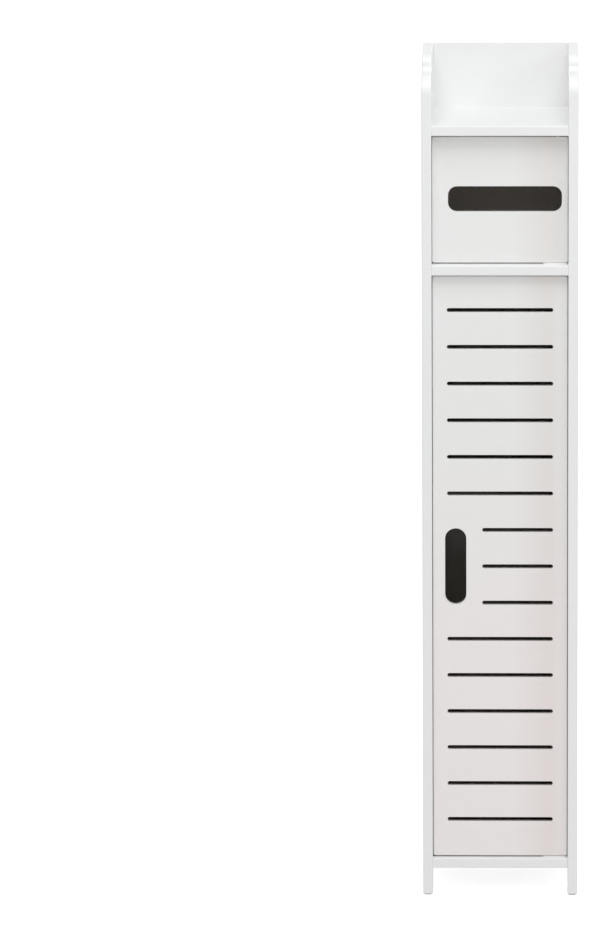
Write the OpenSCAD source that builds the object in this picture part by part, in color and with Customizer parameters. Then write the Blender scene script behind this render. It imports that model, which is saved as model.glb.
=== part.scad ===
// Slim freestanding bathroom cabinet in white coated board: an open tray on top, a tissue
// compartment behind a small slotted door, and a tall cupboard behind a louvred door.
// The front faces -Y, up is +Z, and the origin is on the floor under the middle.

/* [Cabinet] */
// Overall width across the two side panels
cabinet_w = 220; // [190:5:320]
// Overall depth from the front edges to the rear edges
cabinet_d = 200; // [180:5:300]
// Overall height from the floor to the top edge
cabinet_h = 1200; // [1000:10:1500]
// Thickness of the side panels and of the shelves
board_t = 14; // [13:1:18]
// Radius that softens the long edges of the boards
edge_r = 1.5; // [0.5:0.25:2.5]
// Clear height under the bottom shelf
leg_h = 40; // [34:1:80]
// Depth of the open tray below the top edge
tray_depth = 91; // [75:1:160]
// Clear height of the tissue compartment
tissue_bay_h = 184; // [120:1:240]
// How far the front edge of each outer shelf stands behind the side panels
shelf_setback = 1; // [0.5:0.5:3]
// Clear depth between the cupboard door and the two inner shelves
inner_shelf_gap = 12; // [10:1:40]

/* [Side panels] */
// Length of each leg along the floor
leg_w = 36; // [32:1:50]
// Height of solid board between the arch and the bottom shelf
arch_margin = 8; // [4:1:12]
// Radius of the upper corners of the arch between the legs
arch_r = 20; // [5:1:20]
// Radius of the rounded shoulder at the upper front corner
shoulder_r = 25; // [10:1:35]
// Height of the raised crest above the shoulder
crest_h = 21; // [21:1:35]
// Length of the raised crest from the rear edge forwards
crest_l = 139; // [110:1:139]
// Radius of the front corner of the crest
crest_r = 13; // [6:1:13]
// Radius of the hollow where the crest meets the shoulder
cove_r = 8; // [2:1:8]

/* [Back panel] */
// Thickness of the back panel
back_t = 5; // [3:0.5:6]
// Distance from the rear edges to the back panel
back_inset = 3; // [2.5:0.5:8]
// Depth of the groove in each side panel
groove_depth = 6; // [4:0.5:7]

/* [Cupboard door] */
// Thickness of the cupboard door
door_t = 10; // [10:0.5:15]
// How far the cupboard door stands behind the front edges
door_recess = 12; // [6:1:14]
// Number of louvre slots
slot_count = 15; // [5:2:15]
// Height of every slot
slot_h = 6; // [3:0.5:8]
// Distance from the ends of the slots to the door edges
slot_margin = 20.3; // [16:0.1:30]
// Distance from the upper edge of the door to the middle of the top slot
slot_top_margin = 48.5; // [30:0.5:90]
// Distance from the lower edge of the door to the middle of the bottom slot
slot_bottom_margin = 53.5; // [30:0.5:90]
// Width of the finger hole
finger_w = 30; // [22:1:34]
// Height of the finger hole
finger_h = 110; // [70:1:120]
// Distance from the free edge of the door to the finger hole
finger_edge = 17.4; // [12:0.2:20]
// Distance from the finger hole to the short slots beside it
finger_gap = 22.5; // [15:0.5:30]
// Gap between the cupboard door and the divider shelf above it
door_top_gap = 2.5; // [1.75:0.25:4]

/* [Tissue door] */
// Thickness of the tissue door
tissue_door_t = 9; // [8.5:0.5:12]
// How far the tissue door stands behind the front edges
tissue_recess = 20; // [8:1:21]
// Height of the tissue slot
tissue_slot_h = 36; // [32:0.5:50]
// Corner radius of the tissue slot
tissue_slot_r = 12.5; // [4:0.5:15.5]
// Distance from the free edge of the tissue door to its slot
tissue_slot_left = 22.5; // [16:0.5:40]
// Distance from the tissue slot to the hinged edge
tissue_slot_right = 8.5; // [8:0.5:40]
// Gap between the tissue door and the tray shelf above it
tissue_top_gap = 4; // [1.75:0.25:4.25]

/* [Door fit and pivots] */
// Clearance of a door's rear edge as it swings past the side panel
heel_clear = 0.3; // [0.2:0.1:1]
// Gap between a door and the shelf below it
floor_gap = 1.5; // [1.5:0.25:4]
// Distance from the hinged edge of a door to its pivot axis
pivot_edge = 14; // [13:0.5:16]
// Diameter of the pivot pin
pin_d = 4; // [3:0.25:4.5]
// Length of the pivot pin above its plate
pin_l = 10; // [6:0.5:14]
// Outer diameter of the pivot bush
bush_d = 6.4; // [6:0.2:7]
// Length of the pivot plate
plate_l = 35; // [32:0.5:40]
// Width of the pivot plate
plate_w = 9; // [8:0.5:12]
// Thickness of the pivot plate
plate_t = 1.2; // [1.15:0.05:1.25]
// Length of the screws that hold the pivot plates
plate_screw_l = 7.5; // [6:0.25:7.5]

/* [Magnetic catches] */
// Width of the catch housing
catch_w = 30; // [27:1:32]
// Height of the catch housing
catch_h = 17; // [17:0.5:20]
// Depth of the catch housing
catch_d = 14; // [13:0.5:20]
// Length of each fixing ear
ear_l = 9; // [8:0.5:10]
// Thickness of each fixing ear
ear_t = 3; // [2:0.5:5]
// Width of the magnet and of the steel poles
magnet_w = 22; // [16:0.5:23]
// Height of the magnet
magnet_h = 4.5; // [3:0.25:6]
// Depth of the magnet
magnet_d = 9.5; // [6:0.5:10]
// Thickness of each steel pole
pole_t = 1.2; // [0.8:0.1:1.5]
// Distance from the side panel to the middle of a catch
catch_inset = 52; // [51:1:58]
// Width of the strike plate
strike_w = 26; // [20:1:34]
// Height of the strike plate
strike_h = 8; // [7:0.5:8]
// Thickness of the strike plate
strike_t = 1.6; // [1.4:0.1:2]

/* [Shelf fixings] */
// Distance from the front or rear of a shelf to its nearest screw
screw_inset = 32; // [28:1:40]
// Diameter of the shelf screws
screw_d = 4; // [3:0.5:4.5]
// Length of the shelf screws
screw_l = 36; // [28:1:38]
// Head diameter of the shelf screws
screw_head_d = 8; // [6.5:0.5:9]
// Head height of the shelf screws
screw_head_h = 2.4; // [1.6:0.2:3]
// Diameter of the cover caps
cap_d = 11; // [9.5:0.5:12]
// Thickness of the cover caps
cap_t = 1.6; // [1:0.1:2.5]
// Diameter of the dowels
dowel_d = 6; // [4:0.5:8]
// Length of each dowel inside the side panel
dowel_in_side = 8; // [6:1:10]
// Length of each dowel inside the shelf
dowel_in_shelf = 16; // [10:1:20]

/* [Small screws and feet] */
// Diameter of the small screws
small_d = 2.8; // [2:0.1:3]
// Head diameter of the small screws
small_head_d = 5.4; // [4.4:0.1:5.6]
// Head height of the small countersunk screws
small_head_h = 0.9; // [0.7:0.1:1]
// Head height of the small round-headed screws
round_head_h = 1.6; // [1.1:0.1:2]
// Length of the screws that hold the catches
small_l = 12; // [9:0.5:12.5]
// Length of the strike plate screws
strike_screw_l = 8; // [6:0.5:9]
// Length of the back panel screws
back_screw_l = 16; // [12:0.5:20]
// Width of the cross recess in the screw heads
cross_w = 0.7; // [0.4:0.05:0.8]
// Length of the cross recess in the screw heads
cross_l = 3; // [2:0.1:3.2]
// Depth of the cross recess in the screw heads
cross_depth = 0.5; // [0.4:0.05:0.6]
// Thickness of the foot pads
pad_t = 2.5; // [1.5:0.25:4]
// Width of the foot pads
pad_w = 12; // [9:0.5:13]
// Length of the foot pads
pad_l = 28; // [20:1:30]
// Corner radius of the foot pads
pad_r = 4; // [2:0.5:4]
// Diameter of the nail in each foot pad
nail_d = 1.8; // [1.2:0.1:2.4]
// Length of the nail in each foot pad
nail_l = 14; // [8:1:18]
// Diameter of the nail head
nail_head_d = 4.4; // [3.4:0.2:5]
// Thickness of the nail head
nail_head_t = 0.7; // [0.4:0.1:1]

/* [Hidden] */
$fn = 48;

// Colours of the real finishes
board_white = [0.95, 0.95, 0.94];
door_white = [0.93, 0.92, 0.91];
plastic_white = [0.90, 0.90, 0.88];
steel_grey = [0.70, 0.71, 0.72];
coated_steel = [0.92, 0.92, 0.91];
ferrite_black = [0.12, 0.12, 0.13];
beech = [0.80, 0.66, 0.46];

// Clearance round everything that sits in a hole or a pocket
fit = 0.1;
// Clearance of the pivot pin in its bush
running_fit = 0.05;
// Overrun of every cut past the face that it starts from
over = 1;
// Gap between the catch poles and the strike plate
catch_gap = 0.3;
// How far the poles stand out of the catch housing
pole_reach = 0.5;
// How far a bush stands out of the door edge
bush_reach = 0.2;
// Solid end of a bush beyond its bore
bush_end = 1;
// Free room in a bush beyond the tip of the pin
pin_room = 0.5;
// Chamfer on caps, screw heads and pin tips
small_chamfer = 0.4;
// Shares of the pivot plate length at which its two screws stand
plate_screw_shares = [0.2, 0.84];

inner_w = cabinet_w - 2 * board_t;
inner_x = inner_w / 2;
outer_x = cabinet_w / 2;
front_y = -cabinet_d / 2;
back_y = cabinet_d / 2 - back_inset - back_t;
shoulder_z = cabinet_h - crest_h;
crest_u = cabinet_d - crest_l;
arch_top = leg_h - arch_margin;
arch_corner = min(arch_r, arch_top - pad_t);

tray_z = cabinet_h - tray_depth - board_t;
divider_z = tray_z - tissue_bay_h - board_t;
tissue_floor = divider_z + board_t;
cupboard_floor = leg_h + board_t;
cupboard_h = divider_z - cupboard_floor;
bay_h = (cupboard_h - 2 * board_t) / 3;
inner_lower_z = cupboard_floor + bay_h;
inner_upper_z = inner_lower_z + board_t + bay_h;
inner_setback = door_recess + door_t + inner_shelf_gap;

// Underside height and front setback of every shelf, from the top down
shelf_zs = [tray_z, divider_z, inner_upper_z, inner_lower_z, leg_h];
shelf_setbacks = [shelf_setback, shelf_setback, inner_setback, inner_setback, shelf_setback];

// Gap beside a door of thickness t that lets its rounded rear edge swing past the side panel
function side_gap(t) =
    norm([pivot_edge - edge_r, t / 2 - edge_r]) + edge_r - pivot_edge + heel_clear;

catch_x = -inner_x + catch_inset;
door_w = inner_w - 2 * side_gap(door_t);
door_edge_x = door_w / 2;
door_h = cupboard_h - floor_gap - door_top_gap;
door_z = cupboard_floor + floor_gap;
door_y = front_y + door_recess;
door_rear = door_y + door_t;
door_pivot = [door_edge_x - pivot_edge, door_y + door_t / 2];
slot_bottom_z = door_z + slot_bottom_margin;
slot_pitch = (door_h - slot_top_margin - slot_bottom_margin) / (slot_count - 1);
slot_end = door_edge_x - slot_margin;
finger_z = slot_bottom_z + slot_pitch * (slot_count - 1) / 2;
finger_x = -door_edge_x + finger_edge + finger_w / 2;
short_slot_start = finger_x + finger_w / 2 + finger_gap;

tissue_door_w = inner_w - 2 * side_gap(tissue_door_t);
tissue_door_h = tissue_bay_h - floor_gap - tissue_top_gap;
tissue_door_z = tissue_floor + floor_gap;
tissue_door_y = front_y + tissue_recess;
tissue_rear = tissue_door_y + tissue_door_t;
tissue_pivot = [tissue_door_w / 2 - pivot_edge, tissue_door_y + tissue_door_t / 2];
tissue_slot_w = tissue_door_w - tissue_slot_left - tissue_slot_right;
tissue_slot_x = (tissue_slot_left - tissue_slot_right) / 2;

ear_span = catch_w + ear_l;
cap_depth = cap_t + fit;
screw_grip = screw_l - (board_t - cap_depth);
pad_x = (outer_x + inner_x) / 2;
pad_y = cabinet_d / 2 - leg_w / 2;

// Length of a bush in a door that stands that gap away from the shelf
function bush_l(gap) = plate_t + pin_l + pin_room + bush_end - (gap - bush_reach);

function screw_ys(setback) = [front_y + setback + screw_inset, back_y - screw_inset];
function dowel_y(setback) = (front_y + setback + back_y) / 2;

// A rectangle with round corners, centred on the origin
module round_rect(w, h, r) {
    square([w - 2 * r, h], center = true);
    square([w, h - 2 * r], center = true);
    for (x = [-1, 1], y = [-1, 1])
        translate([x * (w / 2 - r), y * (h / 2 - r)]) circle(r);
}

// Extrudes a profile of depth against height from x0 along X
module along_x(x0, length) {
    translate([x0, 0, 0]) rotate([90, 0, 90]) linear_extrude(length) children();
}

// Extrudes a profile of width against height from y0 along Y
module along_y(y0, length) {
    translate([0, y0 + length, 0]) rotate([90, 0, 0]) linear_extrude(length) children();
}

// A hole or a shank that starts at x0 and runs along +X
module rod_x(x0, y, z, length, d) {
    translate([x0, y, z]) rotate([0, 90, 0]) cylinder(length, d = d);
}

// A countersunk hole that opens upwards at the origin, for a flat-headed screw
module countersunk_hole(length, d, head_d, head_h) {
    translate([0, 0, -length]) cylinder(length + over, d = d + 2 * fit);
    translate([0, 0, -head_h - fit])
        cylinder(head_h + fit, d1 = d + 2 * fit, d2 = head_d + 2 * fit);
    cylinder(over, d = head_d + 2 * fit);
}

// A blind hole that opens upwards at the origin, for the shank of a small screw
module pilot_hole(length) {
    translate([0, 0, -length - fit]) cylinder(length + fit + over, d = small_d + 2 * fit);
}

// Outline of a side panel seen from the side, with the front edge at -cabinet_d / 2
module side_outline() {
    translate([front_y, 0]) difference() {
        union() {
            translate([0, pad_t]) square([cabinet_d, shoulder_z - shoulder_r - pad_t]);
            translate([shoulder_r, pad_t])
                square([cabinet_d - shoulder_r, shoulder_z - pad_t]);
            translate([shoulder_r, shoulder_z - shoulder_r]) circle(shoulder_r);
            translate([crest_u, pad_t]) square([crest_l, cabinet_h - crest_r - pad_t]);
            translate([crest_u + crest_r, pad_t])
                square([crest_l - crest_r, cabinet_h - pad_t]);
            translate([crest_u + crest_r, cabinet_h - crest_r]) circle(crest_r);
            difference() {
                translate([crest_u - cove_r, shoulder_z]) square(cove_r);
                translate([crest_u - cove_r, shoulder_z + cove_r]) circle(cove_r);
            }
        }
        arch_outline();
    }
}

// The arch between the front leg and the rear leg
module arch_outline() {
    translate([leg_w, -over])
        square([cabinet_d - 2 * leg_w, arch_top - arch_corner + over]);
    translate([leg_w + arch_corner, -over])
        square([cabinet_d - 2 * (leg_w + arch_corner), arch_top + over]);
    for (u = [leg_w + arch_corner, cabinet_d - leg_w - arch_corner])
        translate([u, arch_top - arch_corner]) circle(arch_corner);
}

// The right-hand side panel, with its groove, screw holes and dowel holes
module side_panel() {
    color(board_white) difference() {
        intersection() {
            along_x(inner_x, board_t) side_outline();
            translate([pad_x, 0, 0]) linear_extrude(cabinet_h)
                round_rect(board_t, cabinet_d, edge_r);
        }
        translate([inner_x - over, back_y - fit, leg_h - fit])
            cube([groove_depth + over, back_t + 2 * fit, cabinet_h - leg_h + over]);
        at_shelf_screws() translate([-cap_depth, 0, 0]) rotate([0, 90, 0]) {
            countersunk_hole(board_t, screw_d, screw_head_d, screw_head_h);
            cylinder(cap_depth + over, d = cap_d + 2 * fit);
        }
        for (i = [0 : len(shelf_zs) - 1])
            rod_x(
                inner_x - over, dowel_y(shelf_setbacks[i]), shelf_zs[i] + board_t / 2,
                dowel_in_side + over + fit, dowel_d + 2 * fit
            );
        for (y = [-pad_y, pad_y])
            translate([pad_x, y, 0]) cylinder(nail_l + 2 * fit, d = nail_d + 2 * fit);
    }
}

// A shelf between the sides, with a rounded front edge and holes for its fixings
module shelf(i) {
    setback = shelf_setbacks[i];
    depth = back_y - front_y - setback;
    mid_z = shelf_zs[i] + board_t / 2;
    color(board_white) difference() {
        along_x(-inner_x, inner_w) translate([front_y + setback, shelf_zs[i]]) {
            translate([edge_r, 0]) square([depth - edge_r, board_t]);
            translate([0, edge_r]) square([depth, board_t - 2 * edge_r]);
            for (z = [edge_r, board_t - edge_r]) translate([edge_r, z]) circle(edge_r);
        }
        for (side = [0, 1]) mirror([side, 0, 0]) {
            for (y = screw_ys(setback))
                rod_x(
                    inner_x - screw_grip - fit, y, mid_z,
                    screw_grip + fit + over, screw_d + 2 * fit
                );
            rod_x(
                inner_x - dowel_in_shelf - fit, dowel_y(setback), mid_z,
                dowel_in_shelf + fit + over, dowel_d + 2 * fit
            );
            translate([inner_x - screw_inset, back_y, mid_z]) rotate([-90, 0, 0])
                pilot_hole(back_screw_l - back_t);
        }
    }
}

// Places its children at the two screws of a pivot plate, on the plate's lower face
module at_plate_screws() {
    for (share = plate_screw_shares)
        translate([pivot_edge - plate_l * (1 - share), 0, 0]) children();
}

// Places its children at the two ears of a catch, on the face that meets the shelf
module at_catch_ears() {
    for (side = [-1, 1]) translate([side * ear_span / 2, catch_d / 2, 0]) children();
}

// Places its children at a pivot, where +Z points from the shelf into the door
module at_pivot(place, z, up) {
    translate([place.x, place.y, z]) mirror([0, 0, up ? 0 : 1]) children();
}

module at_door_floor_pivot() { at_pivot(door_pivot, cupboard_floor, true) children(); }
module at_door_top_pivot() { at_pivot(door_pivot, divider_z, false) children(); }
module at_tissue_floor_pivot() { at_pivot(tissue_pivot, tissue_floor, true) children(); }
module at_tissue_top_pivot() { at_pivot(tissue_pivot, tray_z, false) children(); }

module at_door_pivots() {
    at_door_floor_pivot() children();
    at_door_top_pivot() children();
}

module at_tissue_pivots() {
    at_tissue_floor_pivot() children();
    at_tissue_top_pivot() children();
}

// Places its children at a catch, with the origin in the middle of its upper front edge
module at_catch(rear_y, ceiling_z) {
    translate([catch_x, rear_y + strike_t + catch_gap + pole_reach, ceiling_z]) children();
}

// Places its children on the rear of a door, where +Z points away from the door
module at_strike(rear_y, ceiling_z) {
    translate([catch_x, rear_y, ceiling_z - catch_h / 2]) rotate([-90, 0, 0]) children();
}

module side_panel_left() { mirror([1, 0, 0]) side_panel(); }
module side_panel_right() { side_panel(); }

module tray_shelf() {
    color(board_white) difference() {
        shelf(0);
        at_tissue_pivots() at_plate_screws() pilot_hole(plate_screw_l - plate_t);
        at_catch(tissue_rear, tray_z) at_catch_ears()
            mirror([0, 0, 1]) pilot_hole(small_l - ear_t);
    }
}

module divider_shelf() {
    color(board_white) difference() {
        shelf(1);
        at_tissue_pivots() at_plate_screws() pilot_hole(plate_screw_l - plate_t);
        at_door_pivots() at_plate_screws() pilot_hole(plate_screw_l - plate_t);
        at_catch(door_rear, divider_z) at_catch_ears()
            mirror([0, 0, 1]) pilot_hole(small_l - ear_t);
    }
}

module inner_shelf_upper() { shelf(2); }
module inner_shelf_lower() { shelf(3); }

module bottom_shelf() {
    color(board_white) difference() {
        shelf(4);
        at_door_pivots() at_plate_screws() pilot_hole(plate_screw_l - plate_t);
    }
}

// Places its children at every screw of the back panel, on its rear face
module at_back_screws() {
    for (z = shelf_zs, side = [-1, 1])
        translate([side * (inner_x - screw_inset), back_y + back_t, z + board_t / 2])
            rotate([-90, 0, 0]) children();
}

// The thin back panel, held in the grooves and screwed to every shelf
module back_panel() {
    w = inner_w + 2 * (groove_depth - fit);
    color(board_white) difference() {
        translate([-w / 2, back_y, leg_h]) cube([w, back_t, cabinet_h - leg_h]);
        at_back_screws() pilot_hole(back_t + over);
    }
}

// A board with every long edge rounded, its front face at y0 and its lower edge at z0
module door_blank(w, h, t, y0, z0) {
    color(door_white) intersection() {
        along_y(y0, t) translate([0, z0 + h / 2]) round_rect(w, h, edge_r);
        translate([0, y0 + t / 2, z0]) linear_extrude(h) round_rect(w, t, edge_r);
        along_x(-w / 2, w) translate([y0 + t / 2, z0 + h / 2]) round_rect(t, h, edge_r);
    }
}

// The hole that takes a pivot bush, from the face of the shelf into the door
module bush_hole(gap) {
    cylinder(gap - bush_reach + bush_l(gap) + fit, d = bush_d + 2 * fit);
}

// The hole in the rear of a door that takes the screw of its strike plate
module strike_hole() {
    pilot_hole(strike_screw_l - strike_t);
}

// One horizontal louvre slot of the cupboard door
module louvre(start, z) {
    translate([(start + slot_end) / 2, z])
        round_rect(slot_end - start, slot_h, slot_h / 2 - fit);
}

module cupboard_door() {
    color(door_white) difference() {
        door_blank(door_w, door_h, door_t, door_y, door_z);
        along_y(door_y - over, door_t + 2 * over) {
            for (i = [0 : slot_count - 1]) {
                z = slot_bottom_z + i * slot_pitch;
                beside_finger_hole = abs(z - finger_z) < finger_h / 2 + slot_h;
                louvre(beside_finger_hole ? short_slot_start : -slot_end, z);
            }
            translate([finger_x, finger_z])
                round_rect(finger_w, finger_h, finger_w / 2 - fit);
        }
        at_door_floor_pivot() bush_hole(floor_gap);
        at_door_top_pivot() bush_hole(door_top_gap);
        at_strike(door_rear, divider_z) strike_hole();
    }
}

module tissue_door() {
    color(door_white) difference() {
        door_blank(tissue_door_w, tissue_door_h, tissue_door_t, tissue_door_y, tissue_door_z);
        along_y(tissue_door_y - over, tissue_door_t + 2 * over)
            translate([tissue_slot_x, tissue_floor + tissue_bay_h / 2])
                round_rect(tissue_slot_w, tissue_slot_h, tissue_slot_r);
        at_tissue_floor_pivot() bush_hole(floor_gap);
        at_tissue_top_pivot() bush_hole(tissue_top_gap);
        at_strike(tissue_rear, tray_z) strike_hole();
    }
}

// A white-coated pivot plate that lies on a shelf, with its pin standing up into the door
module pivot_plate() {
    color(coated_steel) difference() {
        union() {
            translate([pivot_edge - plate_l / 2, 0, 0])
                linear_extrude(plate_t)
                    round_rect(plate_l, plate_w, plate_w / 2 - small_chamfer);
            translate([0, 0, plate_t / 2])
                cylinder(plate_t / 2 + pin_l - small_chamfer, d = pin_d);
            translate([0, 0, plate_t + pin_l - small_chamfer])
                cylinder(small_chamfer, d1 = pin_d, d2 = pin_d - 2 * small_chamfer);
        }
        at_plate_screws() translate([0, 0, plate_t])
            countersunk_hole(plate_t + over, small_d, small_head_d, small_head_h);
    }
}

// The plastic bush in the end of a door that stands that gap away, bored for the pivot pin
module pivot_bush(gap) {
    color(plastic_white) translate([0, 0, gap - bush_reach]) difference() {
        cylinder(bush_l(gap), d = bush_d);
        translate([0, 0, -over])
            cylinder(bush_l(gap) - bush_end + over, d = pin_d + 2 * running_fit);
    }
}

// A cross recess cut down into a screw head from the origin
module cross_recess() {
    for (turn = [0, 90]) rotate([0, 0, turn])
        translate([-cross_l / 2, -cross_w / 2, -cross_depth])
            cube([cross_l, cross_w, cross_depth + over]);
}

// A countersunk screw that points along -Z, with the top of its head at the origin
module flat_screw(length) {
    color(steel_grey) difference() {
        union() {
            translate([0, 0, -length]) cylinder(length - small_head_h / 2, d = small_d);
            translate([0, 0, -small_head_h])
                cylinder(small_head_h, d1 = small_d, d2 = small_head_d);
        }
        cross_recess();
    }
}

// A round-headed screw that points along -Z, with the underside of its head at the origin
module pan_screw(length) {
    color(steel_grey) difference() {
        union() {
            translate([0, 0, -length]) cylinder(length + round_head_h / 2, d = small_d);
            cylinder(round_head_h - small_chamfer, d = small_head_d);
            translate([0, 0, round_head_h - small_chamfer]) cylinder(
                small_chamfer, d1 = small_head_d, d2 = small_head_d - 2 * small_chamfer
            );
        }
        translate([0, 0, round_head_h]) cross_recess();
    }
}

// Places its children at every shelf screw of the right-hand side, on its outer face
module at_shelf_screws() {
    for (i = [0 : len(shelf_zs) - 1], y = screw_ys(shelf_setbacks[i]))
        translate([outer_x, y, shelf_zs[i] + board_t / 2]) children();
}

// The long screws of the shelf joints, each with its head hidden under a cap
module shelf_screws() {
    color(steel_grey) at_shelf_screws() translate([-cap_depth, 0, 0]) rotate([0, 90, 0]) {
        translate([0, 0, -screw_l]) cylinder(screw_l - screw_head_h / 2, d = screw_d);
        translate([0, 0, -screw_head_h])
            cylinder(screw_head_h, d1 = screw_d, d2 = screw_head_d);
    }
}

// The flush white caps over the shelf screws
module screw_caps() {
    color(plastic_white) at_shelf_screws() rotate([0, 90, 0]) {
        translate([0, 0, -cap_t]) cylinder(cap_t - small_chamfer, d = cap_d);
        translate([0, 0, -small_chamfer])
            cylinder(small_chamfer, d1 = cap_d, d2 = cap_d - 2 * small_chamfer);
    }
}

// The wooden dowels between the shelves and the right-hand side panel
module shelf_dowels() {
    color(beech) for (i = [0 : len(shelf_zs) - 1])
        rod_x(
            inner_x - dowel_in_shelf, dowel_y(shelf_setbacks[i]), shelf_zs[i] + board_t / 2,
            dowel_in_shelf + dowel_in_side, dowel_d
        );
}

module shelf_screws_left() { mirror([1, 0, 0]) shelf_screws(); }
module shelf_screws_right() { shelf_screws(); }
module screw_caps_left() { mirror([1, 0, 0]) screw_caps(); }
module screw_caps_right() { screw_caps(); }
module shelf_dowels_left() { mirror([1, 0, 0]) shelf_dowels(); }
module shelf_dowels_right() { shelf_dowels(); }

module back_panel_screws() { at_back_screws() pan_screw(back_screw_l); }

// Places its children at the middle of each leg, on the floor
module at_legs() {
    for (x = [-pad_x, pad_x], y = [-pad_y, pad_y]) translate([x, y, 0]) children();
}

module foot_pads() {
    color(plastic_white) at_legs() difference() {
        linear_extrude(pad_t) round_rect(pad_w, pad_l, pad_r);
        translate([0, 0, -over]) cylinder(pad_t + 2 * over, d = nail_d + 2 * fit);
        translate([0, 0, -over])
            cylinder(nail_head_t + 2 * fit + over, d = nail_head_d + 2 * fit);
    }
}

module foot_nails() {
    color(steel_grey) at_legs() translate([0, 0, fit]) {
        cylinder(nail_head_t, d = nail_head_d);
        cylinder(nail_l, d = nail_d);
    }
}

// The housing of a magnetic catch, with its pocket open to the front
module catch_housing() {
    pocket_h = magnet_h + 2 * pole_t + 2 * fit;
    color(plastic_white) difference() {
        union() {
            translate([-catch_w / 2, 0, -catch_h]) cube([catch_w, catch_d, catch_h]);
            translate([-catch_w / 2 - ear_l, 0, -ear_t])
                cube([catch_w + 2 * ear_l, catch_d, ear_t]);
        }
        translate([-magnet_w / 2 - fit, -over, -catch_h / 2 - pocket_h / 2])
            cube([magnet_w + 2 * fit, over + magnet_d + fit, pocket_h]);
        at_catch_ears() mirror([0, 0, 1]) pilot_hole(over);
        at_catch_ears() translate([0, 0, -ear_t]) pilot_hole(over);
        at_catch_ears() translate([0, 0, -ear_t])
            cylinder(ear_t, d = small_d + 2 * fit);
    }
}

module catch_magnet() {
    color(ferrite_black) translate([-magnet_w / 2, 0, -catch_h / 2 - magnet_h / 2])
        cube([magnet_w, magnet_d, magnet_h]);
}

// The two steel poles above and below the magnet
module catch_poles() {
    color(steel_grey) for (z = [magnet_h / 2, -magnet_h / 2 - pole_t])
        translate([-magnet_w / 2, -pole_reach, -catch_h / 2 + z])
            cube([magnet_w, magnet_d + pole_reach, pole_t]);
}

// The steel plate on the rear of a door that the magnet holds
module strike_plate() {
    color(steel_grey) difference() {
        linear_extrude(strike_t)
            round_rect(strike_w, strike_h, strike_h / 2 - small_chamfer);
        translate([0, 0, strike_t])
            countersunk_hole(strike_t + over, small_d, small_head_d, small_head_h);
    }
}

module door_strike_plate() { at_strike(door_rear, divider_z) strike_plate(); }
module door_pivot_plate_lower() { at_door_floor_pivot() pivot_plate(); }
module door_pivot_plate_upper() { at_door_top_pivot() pivot_plate(); }
module door_catch_housing() { at_catch(door_rear, divider_z) catch_housing(); }
module door_catch_magnet() { at_catch(door_rear, divider_z) catch_magnet(); }
module door_catch_poles() { at_catch(door_rear, divider_z) catch_poles(); }

module door_pivot_bushes() {
    at_door_floor_pivot() pivot_bush(floor_gap);
    at_door_top_pivot() pivot_bush(door_top_gap);
}

module door_strike_screw() {
    at_strike(door_rear, divider_z) translate([0, 0, strike_t]) flat_screw(strike_screw_l);
}

module tissue_strike_plate() { at_strike(tissue_rear, tray_z) strike_plate(); }
module tissue_pivot_plate_lower() { at_tissue_floor_pivot() pivot_plate(); }
module tissue_pivot_plate_upper() { at_tissue_top_pivot() pivot_plate(); }
module tissue_catch_housing() { at_catch(tissue_rear, tray_z) catch_housing(); }
module tissue_catch_magnet() { at_catch(tissue_rear, tray_z) catch_magnet(); }
module tissue_catch_poles() { at_catch(tissue_rear, tray_z) catch_poles(); }

module tissue_pivot_bushes() {
    at_tissue_floor_pivot() pivot_bush(floor_gap);
    at_tissue_top_pivot() pivot_bush(tissue_top_gap);
}

module tissue_strike_screw() {
    at_strike(tissue_rear, tray_z) translate([0, 0, strike_t]) flat_screw(strike_screw_l);
}

// The eight countersunk screws that hold the four pivot plates
module pivot_plate_screws() {
    at_door_pivots() at_plate_screws() translate([0, 0, plate_t]) flat_screw(plate_screw_l);
    at_tissue_pivots() at_plate_screws() translate([0, 0, plate_t]) flat_screw(plate_screw_l);
}

// The four screws that hold the two catches up against the shelves
module catch_screws() {
    at_catch(door_rear, divider_z) at_catch_ears()
        translate([0, 0, -ear_t]) mirror([0, 0, 1]) pan_screw(small_l);
    at_catch(tissue_rear, tray_z) at_catch_ears()
        translate([0, 0, -ear_t]) mirror([0, 0, 1]) pan_screw(small_l);
}

side_panel_left();
side_panel_right();
tray_shelf();
divider_shelf();
inner_shelf_upper();
inner_shelf_lower();
bottom_shelf();
back_panel();
shelf_screws_left();
shelf_screws_right();
screw_caps_left();
screw_caps_right();
shelf_dowels_left();
shelf_dowels_right();
back_panel_screws();
foot_pads();
foot_nails();
cupboard_door();
door_pivot_bushes();
door_strike_plate();
door_strike_screw();
door_pivot_plate_lower();
door_pivot_plate_upper();
door_catch_housing();
door_catch_magnet();
door_catch_poles();
tissue_door();
tissue_pivot_bushes();
tissue_strike_plate();
tissue_strike_screw();
tissue_pivot_plate_lower();
tissue_pivot_plate_upper();
tissue_catch_housing();
tissue_catch_magnet();
tissue_catch_poles();
pivot_plate_screws();
catch_screws();
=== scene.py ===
import math

import bmesh
import bpy
from mathutils import Matrix, Vector


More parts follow.
